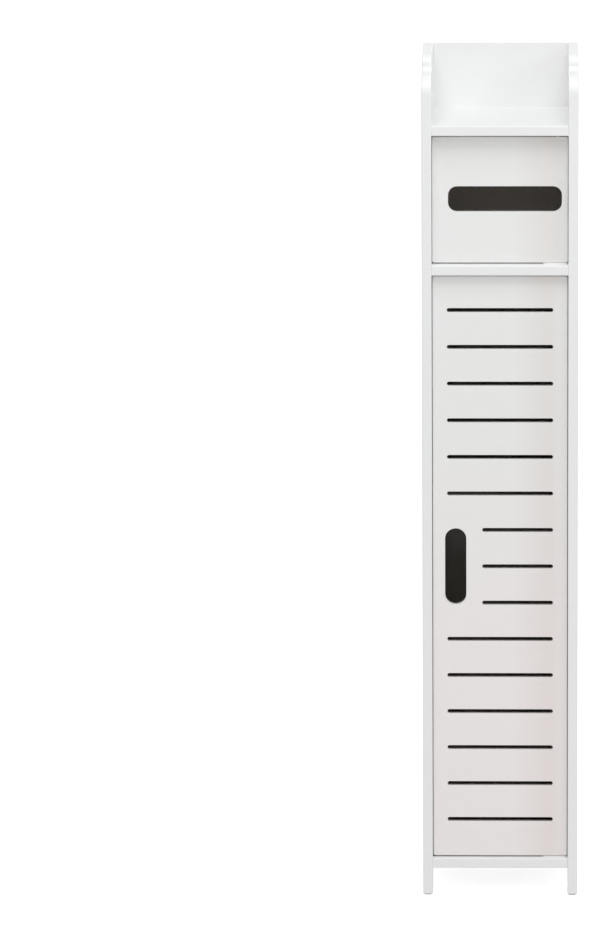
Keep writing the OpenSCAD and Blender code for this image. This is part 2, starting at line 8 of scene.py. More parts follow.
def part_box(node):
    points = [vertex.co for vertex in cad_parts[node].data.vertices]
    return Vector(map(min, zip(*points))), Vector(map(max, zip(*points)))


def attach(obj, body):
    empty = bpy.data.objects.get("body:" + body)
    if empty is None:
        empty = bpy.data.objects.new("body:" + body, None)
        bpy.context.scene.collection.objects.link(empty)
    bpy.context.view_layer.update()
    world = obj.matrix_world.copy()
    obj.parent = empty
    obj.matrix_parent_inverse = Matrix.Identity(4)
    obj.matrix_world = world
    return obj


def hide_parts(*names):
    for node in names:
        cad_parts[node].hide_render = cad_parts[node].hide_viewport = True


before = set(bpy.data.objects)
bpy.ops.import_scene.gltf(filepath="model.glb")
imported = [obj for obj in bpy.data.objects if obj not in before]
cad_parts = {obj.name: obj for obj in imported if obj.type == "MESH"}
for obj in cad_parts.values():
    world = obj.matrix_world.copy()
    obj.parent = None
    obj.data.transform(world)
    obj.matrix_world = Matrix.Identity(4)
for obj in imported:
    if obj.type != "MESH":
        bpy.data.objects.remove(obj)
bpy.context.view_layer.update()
scene = bpy.context.scene
mm = 0.001


# The view. The photograph was taken through a long lens, from ten metres in front of the
# cabinet and well above it, and it shows the cabinet right of the middle.
camera_place = (0.0635, -10.1, 2.6138)
camera_yaw = math.radians(1.9564)
camera_pitch = math.radians(11.2627)
camera_roll = math.radians(-0.3342)
camera = bpy.data.objects.new("camera", bpy.data.cameras.new("camera"))
camera.data.lens = 277.56
camera.data.sensor_width = 36
camera.data.clip_end = 60
camera.matrix_world = (
    Matrix.Translation(camera_place)
    @ Matrix.Rotation(camera_yaw, 4, "Z")
    @ Matrix.Rotation(math.pi / 2 - camera_pitch, 4, "X")
    @ Matrix.Rotation(camera_roll, 4, "Z")
)
scene.collection.objects.link(camera)
scene.camera = camera
scene.view_settings.view_transform = "Standard"


# The studio: a white floor that keeps a faint shadow of the cabinet, an even white surround,
# and three soft lamps: one overhead, a weak one in front, and one across from the front right,
# so that the right side panel shades the back of the tray a little.
class Value:
    """An output of a node. Arithmetic on it adds Math nodes to its tree."""

    def __init__(self, tree, output):
        self.tree = tree
        self.output = output

    def __getitem__(self, name):
        return Value(self.tree, self.output.node.outputs[name])

    def math(self, operation, *values, **settings):
        settings["operation"] = operation
        return self.tree.add("ShaderNodeMath", settings, dict(enumerate(values)))

    def __add__(self, other):
        return self.math("ADD", self, other)

    def __radd__(self, other):
        return self.math("ADD", other, self)

    def __sub__(self, other):
        return self.math("SUBTRACT", self, other)

    def __rsub__(self, other):
        return self.math("SUBTRACT", other, self)

    def __mul__(self, other):
        return self.math("MULTIPLY", self, other)

    def __rmul__(self, other):
        return self.math("MULTIPLY", other, self)

    def __truediv__(self, other):
        return self.math("DIVIDE", self, other)

    def __rtruediv__(self, other):
        return self.math("DIVIDE", other, self)

    def __gt__(self, other):
        return self.math("GREATER_THAN", self, other)

    def __lt__(self, other):
        return self.math("LESS_THAN", self, other)

    def __abs__(self):
        return self.math("ABSOLUTE", self)

    def least(self, other):
        return self.math("MINIMUM", self, other)

    def most(self, other):
        return self.math("MAXIMUM", self, other)

    def sine(self):
        return self.math("SINE", self)

    def cosine(self):
        return self.math("COSINE", self)

    def above(self, edge, width):
        """0 below the edge and 1 above it, with a soft step of that width."""
        return self.math("MULTIPLY_ADD", self - edge, 1 / width, 0.5, use_clamp=True)


class Tree:
    """A shader tree or a geometry tree. Every node in it comes from add()."""

    def __init__(self, data):
        self.data = data

    def add(self, kind, settings=None, inputs=None):
        node = self.data.nodes.new(kind)
        for name, setting in (settings or {}).items():
            setattr(node, name, setting)
        sockets = {s.name: s for s in reversed(node.inputs) if s.enabled}
        for name, value in (inputs or {}).items():
            socket = node.inputs[name] if isinstance(name, int) else sockets[name]
            for one in value if isinstance(value, list) else [value]:
                if isinstance(one, Value):
                    self.data.links.new(one.output, socket)
                else:
                    socket.default_value = one
        outputs = [s for s in node.outputs if s.enabled]
        return Value(self, outputs[0]) if outputs else node

    def mix(self, factor, first, second):
        return self.add(
            "ShaderNodeMix", {"data_type": "RGBA"}, {"Factor": factor, "A": first, "B": second}
        )


def new_material(name):
    material = bpy.data.materials.new(name)
    material.use_nodes = True
    material.node_tree.nodes.clear()
    return material, Tree(material.node_tree)


def finish_material(tree, shader):
    tree.add("ShaderNodeOutputMaterial", inputs={"Surface": shader})


def sees_surround(tree):
    """1 for a ray from the camera, and for one that a shiny or clear surface sends on."""
    path = tree.add("ShaderNodeLightPath")
    return path["Is Camera Ray"].most(path["Is Glossy Ray"]).most(path["Is Transmission Ray"])


ambient_strength = 0.545
ambient_tint = (1.0, 0.985, 0.98, 1)
floor_size = 60
floor_colour = (0.90, 0.90, 0.90, 1)
floor_glow = 0.68

world = bpy.data.worlds.new("studio")
scene.world = world
world.use_nodes = True
world.node_tree.nodes.clear()
tree = Tree(world.node_tree)
ambient = tree.add(
    "ShaderNodeBackground", inputs={"Color": ambient_tint, "Strength": ambient_strength}
)
backdrop = tree.add("ShaderNodeBackground", inputs={"Color": (1, 1, 1, 1), "Strength": 1})
surround = tree.add(
    "ShaderNodeMixShader", inputs={0: sees_surround(tree), 1: ambient, 2: backdrop}
)
tree.add("ShaderNodeOutputWorld", inputs={"Surface": surround})

floor_mesh = bpy.data.meshes.new("floor")
half = floor_size / 2
floor_mesh.from_pydata(
    [(-half, -half, 0), (half, -half, 0), (half, half, 0), (-half, half, 0)], [], [(0, 1, 2, 3)]
)
floor = bpy.data.objects.new("floor", floor_mesh)
scene.collection.objects.link(floor)
floor_paint, tree = new_material("floor_paint")
paint = tree.add("ShaderNodeBsdfDiffuse", inputs={"Color": floor_colour})
glow = tree.add("ShaderNodeEmission", inputs={"Strength": sees_surround(tree) * floor_glow})
finish_material(tree, tree.add("ShaderNodeAddShader", inputs={0: paint, 1: glow}))
floor_mesh.materials.append(floor_paint)


def softbox(name, place, target, width, height, watts, tint):
    """A rectangular lamp that looks from its place at the target."""
    lamp = bpy.data.lights.new(name, "AREA")
    lamp.color = tint
    lamp.shape = "RECTANGLE"
    lamp.size = width
    lamp.size_y = height
    lamp.energy = watts
    lamp_object = bpy.data.objects.new(name, lamp)
    look = Vector(target) - Vector(place)
    turn = look.to_track_quat("-Z", "Y").to_matrix().to_4x4()
    lamp_object.matrix_world = Matrix.Translation(place) @ turn
    scene.collection.objects.link(lamp_object)


softbox(
    "top_softbox", place=(0.0, -1.6, 3.6), target=(0, 0, 0.8),
    width=2.0, height=1.6, watts=44, tint=(0.945, 0.985, 1.0),
)
softbox(
    "front_softbox", place=(0.0, -3.4, 2.6), target=(0, 0, 0.8),
    width=2.0, height=1.6, watts=6, tint=(1.0, 1.0, 1.0),
)
softbox(
    "right_softbox", place=(2.37, -2.37, 2.57), target=(0, 0, 0.7),
    width=0.6, height=1.0, watts=12, tint=(0.94, 0.96, 1.0),
)


# The side panels: white-coated wood-plastic board, cut to an outline with a rounded shoulder,
# a raised crest behind it and two legs, with every edge rolled over but the sawn feet. A groove
# takes the back panel, and shallow recesses take the caps over the shelf screws.
side_low, side_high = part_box("side_panel_right")
tray_low, tray_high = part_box("tray_shelf")
bottom_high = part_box("bottom_shelf")[1]
back_low, back_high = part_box("back_panel")
door_low, door_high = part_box("cupboard_door")
tissue_low, tissue_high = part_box("tissue_door")
inner_x = side_low.x
board_t = side_high.x - inner_x
cabinet_depth = side_high.y - side_low.y
cabinet_height = side_high.z
foot_z = side_low.z
leg_width = 36 * mm
arch_height = 32 * mm
arch_radius = 20 * mm
crest_height = 21 * mm
crest_length = 139 * mm
crest_radius = 13 * mm
cove_radius = 8 * mm
shoulder_radius = 25 * mm
leg_corner = 2.4 * mm
foot_waste = 3 * mm
side_roll = 1.8 * mm

board_white = (0.88, 0.88, 0.878)
# Painted highlight: the paler white that the rolled edges and the tray sides are mixed towards.
highlight_white = (0.93, 0.93, 0.925)
# Painted shade: a warm, darker tone on the hinge side of the doors, and its share.
warm_shade_colour = (0.63, 0.52, 0.47)
warm_shade_share = 0.24
warm_patch = (0.86, 0.70, 0.66)
cool_patch = (0.70, 0.84, 0.78)
patch_share = 0.03
cloud_grey = (0.62, 0.61, 0.60)
cloud_share = 0.05
# Painted shade: darker tones for the faces inside the cupboard and the tissue compartment, which only an
# open door shows.
cupboard_shade_colour = (0.44, 0.405, 0.37)
tissue_bay_shade_colour = (0.60, 0.565, 0.525)
tint_height = 500 * mm
tint_spread = 350 * mm
outer_edge_x = 105 * mm
soft_step = 4 * mm
sharp_step = 1 * mm
corner_step = 0.6 * mm
corner_margin = 0.5 * mm


def noise(tree, place, scale, detail, roughness=0.5, distortion=0.0):
    """A noise pattern at a place, with that many patches to the metre."""
    return tree.add(
        "ShaderNodeTexNoise",
        inputs={
            "Vector": place,
            "Scale": scale,
            "Detail": detail,
            "Roughness": roughness,
            "Distortion": distortion,
        },
    )


def relief(tree, height, strength, depth):
    """A surface that a pattern raises by that depth, for a shader's Normal."""
    return tree.add(
        "ShaderNodeBump", inputs={"Strength": strength, "Distance": depth, "Height": height}
    )


def in_tissue_bay(axes):
    """1 at the height of the tissue compartment and above it."""
    return axes["Z"].above(tissue_low.z - 2 * soft_step, soft_step)


def beside_tray(axes):
    """1 on the inner faces of the side panels above the tray, which get a painted highlight."""
    aside = abs(axes["X"])
    over_tray = axes["Z"].above(tray_high.z, sharp_step)
    behind_edge = axes["Y"].above(side_low.y + soft_step + sharp_step, soft_step)
    past_face = aside.above(inner_x - corner_margin, corner_step)
    in_board = aside.above(inner_x + 2 * sharp_step, sharp_step)
    return over_tray * behind_edge * past_face * (1 - in_board)


def closed_in(axes):
    """1 on the faces that only an open door shows: behind the doors, between the outer shelves. They get
    painted shade.
    """
    step_back = tissue_high.y - door_high.y + soft_step
    doors_rear = door_high.y + soft_step + in_tissue_bay(axes) * step_back
    behind = (axes["Y"] - doors_rear).above(0, 2 * soft_step)
    under = 1 - axes["Z"].above(tray_low.z + sharp_step, sharp_step)
    over = axes["Z"].above(bottom_high.z - sharp_step, sharp_step)
    between = 1 - abs(axes["X"]).above(inner_x + corner_margin, corner_step)
    before_rear = 1 - axes["Y"].above(back_low.y + sharp_step, sharp_step)
    return behind * under * over * between * before_rear


def coated_board(name, upper, lower, inside, shaded_side=None):
    """Satin white coating on board: faint mottling, an orange-peel surface, a painted highlight on the
    rolled edges and the tray sides, one tint at the top and one near the floor. inside is a mask of the
    hidden faces, which get a darker tone as painted shade, and the last argument, if given, is a mask of
    where a warm painted shade darkens the coat."""
    material, tree = new_material(name)
    place = tree.add("ShaderNodeTexCoord")["Object"]
    axes = tree.add("ShaderNodeSeparateXYZ", inputs={"Vector": place})
    tint = tree.mix(axes["Z"].above(tint_height, tint_spread), (*lower, 1), (*upper, 1))
    warm = tree.mix(1 - patch_share, (*warm_patch, 1), tint)
    cool = tree.mix(1 - patch_share, (*cool_patch, 1), tint)
    coat = tree.mix(noise(tree, place, scale=14, detail=3, roughness=0.6), warm, cool)
    clouds = noise(tree, place, scale=55, detail=4, roughness=0.65)
    coat = tree.mix(clouds.above(0.5, 0.9) * cloud_share, coat, (*cloud_grey, 1))
    # Painted highlight: the rolled edges but the outermost, and the inner faces above the tray, are
    # painted paler as if lit more.
    rolled = tree.add("ShaderNodeAttribute", {"attribute_name": "rolled"})["Fac"]
    inner_edge = 1 - abs(axes["X"]).above(outer_edge_x, soft_step)
    painted_highlight = (rolled * inner_edge).most(beside_tray(axes))
    coat = tree.mix(painted_highlight, coat, (*highlight_white, 1))
    # Painted shade: the hinge side of a door is mixed towards a warm, darker tone.
    if shaded_side:
        coat = tree.mix(shaded_side(axes) * warm_shade_share, coat, (*warm_shade_colour, 1))
    # Painted shade: the hidden inner faces take a darker tone, deeper in the cupboard than in the tissue
    # compartment.
    tone = tree.mix(in_tissue_bay(axes), (*cupboard_shade_colour, 1), (*tissue_bay_shade_colour, 1))
    coat = tree.mix(inside(axes), coat, tone)
    peel = noise(tree, place, scale=900, detail=2)
    waves = noise(tree, place, scale=40, detail=1)
    shader = tree.add(
        "ShaderNodeBsdfPrincipled",
        inputs={
            "Base Color": coat,
            "Roughness": 0.36 + clouds * 0.14,
            "Normal": relief(tree, peel + waves * 6, strength=0.25, depth=0.04 * mm),
            "Specular IOR Level": 0.4,
            "Coat Weight": 0.15,
            "Coat Roughness": 0.18,
        },
    )
    finish_material(tree, shader)
    return material


board_coat = coated_board("board_coat", board_white, board_white, closed_in)


def geometry_tree(name, sizes):
    """A Geometry Nodes tree with a named input for each size. Returns it with its inputs."""
    group = bpy.data.node_groups.new(name, "GeometryNodeTree")
    group.interface.new_socket(name="Geometry", in_out="INPUT", socket_type="NodeSocketGeometry")
    group.interface.new_socket(name="Geometry", in_out="OUTPUT", socket_type="NodeSocketGeometry")
    for size, value in sizes.items():
        kind = "NodeSocketInt" if isinstance(value, int) else "NodeSocketFloat"
        group.interface.new_socket(name=size, in_out="INPUT", socket_type=kind)
    tree = Tree(group)
    return tree, tree.add("NodeGroupInput")


def finish_geometry(tree, geometry, material):
    """Ends a geometry tree: its instances become real and get their material."""
    real = tree.add("GeometryNodeRealizeInstances", inputs={"Geometry": geometry})
    painted = tree.add("GeometryNodeSetMaterial", inputs={"Geometry": real, "Material": material})
    tree.add("NodeGroupOutput", inputs={"Geometry": painted})


def piece_from(source, tree, sizes, name):
    """Runs a geometry tree on a mesh or a curve and returns the result as a plain mesh piece."""
    holder = bpy.data.objects.new(name + "_source", source)
    scene.collection.objects.link(holder)
    modifier = holder.modifiers.new("shape", "NODES")
    modifier.node_group = tree.data
    for item in tree.data.interface.items_tree:
        if item.in_out == "INPUT" and item.name in sizes:
            modifier[item.identifier] = sizes[item.name]
    evaluated = holder.evaluated_get(bpy.context.evaluated_depsgraph_get())
    mesh = bpy.data.meshes.new_from_object(evaluated)
    mesh.name = name
    bpy.data.objects.remove(holder)
    piece = bpy.data.objects.new(name, mesh)
    scene.collection.objects.link(piece)
    return piece


roll_steps = 5
weld_gap = 0.001 * mm


def rolled_board(tree, outline, openings, thickness, edge_roll, rim_roll):
    """Nodes for a flat board with rolled edges, its front in the XY plane and its rear below.
    The curves lie on the front face, where it starts to roll over: round the outline
    counter-clockwise and round the openings clockwise."""
    last = 2 * roll_steps + 1

    def edge(path, roll):
        line = tree.add("GeometryNodeMeshLine", inputs={"Count": last + 1})
        index = tree.add("GeometryNodeInputIndex")
        turn = index.least(last - index) * (math.pi / 2 / roll_steps)
        depth = roll * (1 - turn.cosine())
        rear = index > last / 2
        depth = depth + rear * (thickness - 2 * depth)
        place = tree.add("ShaderNodeCombineXYZ", inputs={"X": roll * turn.sine(), "Y": depth})
        bent = tree.add("GeometryNodeSetPosition", inputs={"Geometry": line, "Position": place})
        # The 'rolled' value, highest halfway round the roll, marks where the coat paints its highlight.
        marked = tree.add(
            "GeometryNodeStoreNamedAttribute",
            {"data_type": "FLOAT", "domain": "POINT"},
            {"Geometry": bent, "Name": "rolled", "Value": (2 * turn).sine()},
        )
        profile = tree.add("GeometryNodeMeshToCurve", inputs={"Mesh": marked})
        upright = tree.add("GeometryNodeSetCurveNormal", {"mode": "Z_UP"}, {"Curve": path})
        return tree.add(
            "GeometryNodeCurveToMesh", inputs={"Curve": upright, "Profile Curve": profile}
        )

    parts = [edge(outline, edge_roll)]
    curves = [outline]
    if openings:
        parts.append(edge(openings, rim_roll))
        curves.append(openings)
    both = tree.add("GeometryNodeJoinGeometry", inputs={"Geometry": curves})
    front = tree.add("GeometryNodeFillCurve", inputs={"Curve": both})
    down = tree.add("ShaderNodeCombineXYZ", inputs={"Z": 0 - thickness})
    rear = tree.add("GeometryNodeTransform", inputs={"Geometry": front, "Translation": down})
    parts += [front, tree.add("GeometryNodeFlipFaces", inputs={"Mesh": rear})]
    loose = tree.add("GeometryNodeJoinGeometry", inputs={"Geometry": parts})
    closed = tree.add(
        "GeometryNodeMergeByDistance", inputs={"Geometry": loose, "Distance": weld_gap}
    )
    return tree.add("GeometryNodeSetShadeSmooth", inputs={"Geometry": closed})


def side_corners():
    """The outline's corners, front leg first and counter-clockwise seen from the right: centre,
    radius (negative where the corner is hollow), first angle and last angle in degrees."""
    shoulder_z = cabinet_height - crest_height
    crest_u = cabinet_depth - crest_length
    foot = foot_z - foot_waste + leg_corner
    arch = arch_height - arch_radius
    rear_leg = cabinet_depth - leg_width
    return [
        (leg_corner, foot, leg_corner, 180, 270),
        (leg_width - leg_corner, foot, leg_corner, 270, 360),
        (leg_width + arch_radius, arch, -arch_radius, 180, 90),
        (rear_leg - arch_radius, arch, -arch_radius, 90, 0),
        (rear_leg + leg_corner, foot, leg_corner, 180, 270),
        (cabinet_depth - leg_corner, foot, leg_corner, 270, 360),
        (cabinet_depth - leg_corner, cabinet_height - leg_corner, leg_corner, 0, 90),
        (crest_u + crest_radius, cabinet_height - crest_radius, crest_radius, 90, 180),
        (crest_u - cove_radius, shoulder_z + cove_radius, -cove_radius, 0, -90),
        (shoulder_radius, shoulder_z - shoulder_radius, shoulder_radius, 90, 180),
    ]


arc_step = 1 * mm
least_arc_steps = 6


def side_path():
    """The outline as a closed curve, moved in by the roll of the edge."""
    curve = bpy.data.curves.new("side_outline", "CURVE")
    curve.dimensions = "3D"
    points = []
    for u, z, radius, start, end in side_corners():
        inset_radius = abs(radius) - math.copysign(side_roll, radius)
        steps = max(least_arc_steps, round(inset_radius / arc_step))
        for i in range(steps + 1):
            angle = math.radians(start + (end - start) * i / steps)
            points.append((u + inset_radius * math.cos(angle), z + inset_radius * math.sin(angle)))
    spline = curve.splines.new("POLY")
    spline.points.add(len(points) - 1)
    for point, (u, z) in zip(spline.points, points):
        point.co = (u, z, 0, 1)
    spline.use_cyclic_u = True
    return curve


side_sizes = {"Thickness": board_t, "Edge roll": side_roll}
side_tree, size = geometry_tree("side_panel", side_sizes)
board = rolled_board(side_tree, size["Geometry"], None, size["Thickness"], size["Edge roll"], None)
finish_geometry(side_tree, board, board_coat)


def turned_tool(profile, places):
    """A cutting tool with one turned solid at each place. The profile is a list of radius and
    height up the place's Z axis."""
    steps = 32
    points = []
    faces = []
    for place in places:
        first = len(points)
        for radius, height in profile:
            for i in range(steps):
                angle = 2 * math.pi * i / steps
                points.append(place @ Vector((radius * math.cos(angle), radius * math.sin(angle), height)))
        for ring in range(first, len(points) - steps, steps):
            for i in range(steps):
                beside = (i + 1) % steps
                faces.append((ring + i, ring + beside, ring + beside + steps, ring + i + steps))
        faces.append(tuple(range(first + steps - 1, first - 1, -1)))
        faces.append(tuple(range(len(points) - steps, len(points))))
    return points, faces


def box_tool(low, high):
    """A cutting tool that is a block between two corners."""
    points = [(x, y, z) for z in (low[2], high[2]) for y in (low[1], high[1]) for x in (low[0], high[0])]
    faces = [(0, 2, 3, 1), (4, 5, 7, 6), (0, 1, 5, 4), (1, 3, 7, 5), (3, 2, 6, 7), (2, 0, 4, 6)]
    return points, faces


def cut(piece, tools):
    """Cuts every tool out of a piece and leaves a plain mesh."""
    points = []
    faces = []
    for tool_points, tool_faces in tools:
        faces += [tuple(i + len(points) for i in face) for face in tool_faces]
        points += tool_points
    mesh = bpy.data.meshes.new("cutter")
    mesh.from_pydata(points, [], faces)
    cutter = bpy.data.objects.new("cutter", mesh)
    scene.collection.objects.link(cutter)
    modifier = piece.modifiers.new("cut", "BOOLEAN")
    modifier.object = cutter
    modifier.solver = "EXACT"
    evaluated = piece.evaluated_get(bpy.context.evaluated_depsgraph_get())
    shape = bpy.data.meshes.new_from_object(evaluated)
    piece.modifiers.clear()
    piece.data = shape
    bpy.data.objects.remove(cutter)


cut_edge_angle = math.radians(35)
flat_face_weight = 80


def weigh_normals(piece):
    """Keeps flat faces flat beside their rolled edges, and cut edges sharp."""
    piece.data.set_sharp_from_angle(angle=cut_edge_angle)
    modifier = piece.modifiers.new("normals", "WEIGHTED_NORMAL")
    modifier.keep_sharp = True
    modifier.weight = flat_face_weight


def facing(place, direction):
    """The matrix that puts a thing's origin at a place and its Z axis along a direction."""
    turn = Vector(direction).to_track_quat("Z", "Y").to_matrix().to_4x4()
    return Matrix.Translation(place) @ turn


shelf_names = [
    "tray_shelf", "divider_shelf", "inner_shelf_upper", "inner_shelf_lower", "bottom_shelf"
]
shelf_boxes = [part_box(name) for name in shelf_names]
screw_inset = 32 * mm
cap_hole_radius = 5.6 * mm
cap_hole_depth = 1.7 * mm
countersink_radius = 4.1 * mm
countersink_height = 2.5 * mm
screw_hole_radius = 2.1 * mm
dowel_hole_radius = 3.1 * mm
dowel_hole_depth = 8.1 * mm
nail_hole_radius = 1 * mm
nail_hole_depth = 14.2 * mm
groove_depth = 6.2 * mm
groove_gap = 0.35 * mm
overrun = 1 * mm
shelf_screw_places = [
    ((low.z + high.z) / 2, y)
    for low, high in shelf_boxes
    for y in (low.y + screw_inset, high.y - screw_inset)
]


def joinery(side):
    """The cutting tools for the holes, the groove and the sawn feet of one side panel."""
    outer = [facing((side * side_high.x, y, z), (-side, 0, 0)) for z, y in shelf_screw_places]
    inner = [
        facing((side * inner_x, (low.y + high.y) / 2, (low.z + high.z) / 2), (side, 0, 0))
        for low, high in shelf_boxes
    ]
    legs = [
        facing((side * (inner_x + board_t / 2), end * (cabinet_depth - leg_width) / 2, 0), (0, 0, 1))
        for end in (-1, 1)
    ]
    screw_hole = [
        (cap_hole_radius, -overrun),
        (cap_hole_radius, cap_hole_depth),
        (countersink_radius, cap_hole_depth),
        (screw_hole_radius, cap_hole_depth + countersink_height),
        (screw_hole_radius, board_t + overrun),
    ]
    dowel_hole = [(dowel_hole_radius, -overrun), (dowel_hole_radius, dowel_hole_depth)]
    nail_hole = [(nail_hole_radius, foot_z - overrun), (nail_hole_radius, nail_hole_depth)]
    groove_x = sorted((side * (inner_x - overrun), side * (inner_x + groove_depth)))
    groove = box_tool(
        (groove_x[0], back_low.y - groove_gap, back_low.z - groove_gap),
        (groove_x[1], back_high.y + groove_gap / 2, cabinet_height + overrun),
    )
    saw_x = sorted((side * (inner_x - overrun), side * (side_high.x + overrun)))
    foot_saw = box_tool(
        (saw_x[0], side_low.y - overrun, foot_z - 2 * foot_waste),
        (saw_x[1], side_high.y + overrun, foot_z),
    )
    return [
        turned_tool(screw_hole, outer),
        turned_tool(dowel_hole, inner),
        turned_tool(nail_hole, legs),
        groove,
        foot_saw,
    ]


sides = ((1, "right"), (-1, "left"))
outline_upright = Matrix(((0, 0, 1, 0), (1, 0, 0, 0), (0, 1, 0, 0), (0, 0, 0, 1)))
for side, name in sides:
    panel = piece_from(side_path(), side_tree, side_sizes, "side_board_" + name)
    face_x = side_high.x if side > 0 else -inner_x
    panel.data.transform(Matrix.Translation((face_x, side_low.y, 0)) @ outline_upright)
    cut(panel, joinery(side))
    weigh_normals(panel)
    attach(panel, "cabinet")
    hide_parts("side_panel_" + name)


# The five shelves: the same white-coated board as the sides, dowelled and screwed between
# them, with a rolled front edge and a fine arris on the sawn ends, which shows as a thin line
# at each joint. The two inner ones stand further back behind the door.
shelf_arris = 0.35 * mm
arris_steps = 3
sharp_edge_angle = math.radians(40)
flat_joint_angle = math.radians(1)


def softened(node, name, body, material, rounding):
    """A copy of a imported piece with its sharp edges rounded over."""
    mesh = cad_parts[node].data.copy()
    mesh.materials.clear()
    mesh.materials.append(material)
    shape = bmesh.new()
    shape.from_mesh(mesh)
    bmesh.ops.remove_doubles(shape, verts=shape.verts, dist=weld_gap)
    bmesh.ops.dissolve_limit(
        shape, angle_limit=flat_joint_angle, verts=shape.verts, edges=shape.edges
    )
    for face in shape.faces:
        face.smooth = True
    shape.to_mesh(mesh)
    shape.free()
    piece = bpy.data.objects.new(name, mesh)
    scene.collection.objects.link(piece)
    bevel = piece.modifiers.new("edges", "BEVEL")
    bevel.width = rounding
    bevel.segments = arris_steps
    bevel.angle_limit = sharp_edge_angle
    bevel.miter_outer = "MITER_ARC"
    normals = piece.modifiers.new("normals", "WEIGHTED_NORMAL")
    normals.weight = flat_face_weight
    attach(piece, body)
    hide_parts(node)


for name in shelf_names:
    softened(name, name + "_board", "cabinet", board_coat, shelf_arris)


# The dowels: plain beech pins glued between the sides and the shelves, hidden once the cabinet
# is together.
def beech_wood(name):
    """Straight-grained beech along X: growth lines, small dark flecks and open pores."""
    material, tree = new_material(name)
    place = tree.add("ShaderNodeTexCoord")["Object"]
    along = tree.add(
        "ShaderNodeMapping", {"vector_type": "TEXTURE"}, {"Vector": place, "Scale": (14, 1, 1)}
    )
    growth = noise(tree, along, scale=900, detail=4, roughness=0.6)
    flecks = tree.add("ShaderNodeTexVoronoi", inputs={"Vector": along, "Scale": 1800})
    wood = tree.mix(growth, (0.60, 0.43, 0.27, 1), (0.72, 0.55, 0.37, 1))
    shader = tree.add(
        "ShaderNodeBsdfPrincipled",
        inputs={
            "Base Color": tree.mix(1 - flecks.above(0.22, 0.1), wood, (0.36, 0.22, 0.12, 1)),
            "Roughness": 0.6 + growth * 0.15,
            "Normal": relief(tree, growth + flecks, strength=0.4, depth=0.05 * mm),
        },
    )
    finish_material(tree, shader)
    return material


def finish(material, *names):
    """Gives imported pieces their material."""
    for name in names:
        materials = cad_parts[name].data.materials
        materials.clear()
        materials.append(material)


finish(beech_wood("beech"), "shelf_dowels_left", "shelf_dowels_right")


# The back panel: a thin sheet, white on both faces, slid down the grooves and screwed to the
# rear of every shelf. Its face is a shade warmer than the board.
back_white = (0.87, 0.868, 0.865)
finish(coated_board("back_sheet", back_white, back_white, closed_in), "back_panel")


# The screws: zinc-plated steel. The long shelf screws lie hidden under the caps, and short ones
# with a round head and a cross recess hold the back panel. The smaller ones come with the
# plates and catches that they hold.
def zinc_plating(name):
    """Bright zinc plating: small crystals, drawing lines and a faint blue and straw tint."""
    material, tree = new_material(name)
    place = tree.add("ShaderNodeTexCoord")["Object"]
    crystals = tree.add("ShaderNodeTexVoronoi", inputs={"Vector": place, "Scale": 900})
    tint = noise(tree, place, scale=160, detail=3, roughness=0.6)
    stretched = tree.add(
        "ShaderNodeMapping", {"vector_type": "TEXTURE"}, {"Vector": place, "Scale": (12, 1, 1)}
    )
    lines = noise(tree, stretched, scale=4200, detail=2)
    bright = tree.mix(tint, (0.60, 0.63, 0.68, 1), (0.72, 0.70, 0.64, 1))
    shader = tree.add(
        "ShaderNodeBsdfPrincipled",
        inputs={
            "Base Color": tree.mix(crystals * 0.35, bright, (0.50, 0.51, 0.53, 1)),
            "Metallic": 1,
            "Roughness": 0.24 + lines * 0.14 + crystals * 0.06,
            "Normal": relief(tree, lines + crystals, strength=0.35, depth=0.02 * mm),
        },
    )
    finish_material(tree, shader)
    return material


zinc = zinc_plating("zinc_plating")
finish(zinc, "shelf_screws_left", "shelf_screws_right")
hub_radius = 1 * mm
steps_round_axis = 28
steps_in_corner = 3


def turned(tree, corners, rounding):
    """Nodes for a solid turned about Z through corners of radius and height, from the lower end
    of the axis to the upper one, with its corners rounded. The profile is carried round a circle
    of the hub's radius, so it is drawn that much further in."""
    line = tree.add("GeometryNodeMeshLine", inputs={"Count": len(corners)})
    index = tree.add("GeometryNodeInputIndex")
    radius = 0 - hub_radius
    height = 0
    for i, (corner_radius, corner_height) in enumerate(corners):
        here = index.math("COMPARE", index, i, 0.5)
        radius = radius + here * corner_radius
        height = height + here * corner_height
    place = tree.add("ShaderNodeCombineXYZ", inputs={"X": radius, "Y": 0 - height})
    bent = tree.add("GeometryNodeSetPosition", inputs={"Geometry": line, "Position": place})
    corner_line = tree.add("GeometryNodeMeshToCurve", inputs={"Mesh": bent})
    profile = tree.add(
        "GeometryNodeFilletCurve",
        {"mode": "POLY"},
        {"Curve": corner_line, "Radius": rounding, "Count": steps_in_corner, "Limit Radius": True},
    )
    circle = tree.add(
        "GeometryNodeCurvePrimitiveCircle",
        inputs={"Radius": hub_radius, "Resolution": steps_round_axis},
    )
    path = tree.add("GeometryNodeSetCurveNormal", {"mode": "Z_UP"}, {"Curve": circle})
    skin = tree.add("GeometryNodeCurveToMesh", inputs={"Curve": path, "Profile Curve": profile})
    outward = tree.add("GeometryNodeFlipFaces", inputs={"Mesh": skin})
    closed = tree.add(
        "GeometryNodeMergeByDistance", inputs={"Geometry": outward, "Distance": weld_gap}
    )
    return tree.add("GeometryNodeSetShadeSmooth", inputs={"Geometry": closed})


